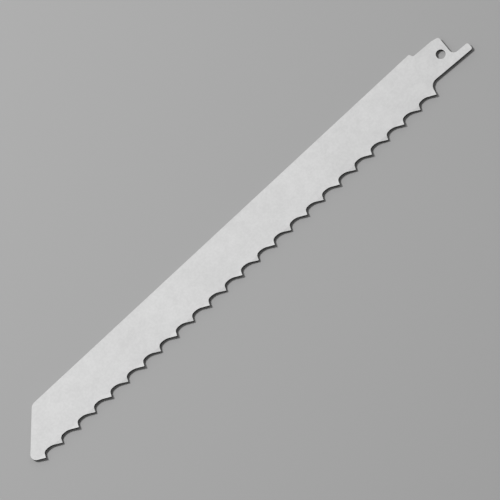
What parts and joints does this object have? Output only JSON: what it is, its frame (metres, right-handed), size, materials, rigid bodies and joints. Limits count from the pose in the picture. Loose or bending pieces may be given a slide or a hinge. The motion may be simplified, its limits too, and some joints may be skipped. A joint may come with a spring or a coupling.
{
  "type": "reciprocating saw blade",
  "caption": "Flat steel reciprocating saw blade with coarse scalloped teeth, a slanted nose, and a narrow shank with a pin hole and tang.",
  "frame": {"origin": "centre of the shank's pin hole, at the blade's lower face", "axes": "+X along the back edge towards the tang, +Y across the blade towards its back edge, +Z out of the flat upper face"},
  "size_m": [0.2301, 0.0189, 0.0021],
  "materials": {
    "blade_steel": "satin, evenly blasted and faintly cloudy"
  },
  "bodies": {
    "root": {"saw_blade": "blade_steel"}
  },
  "joints": []
}
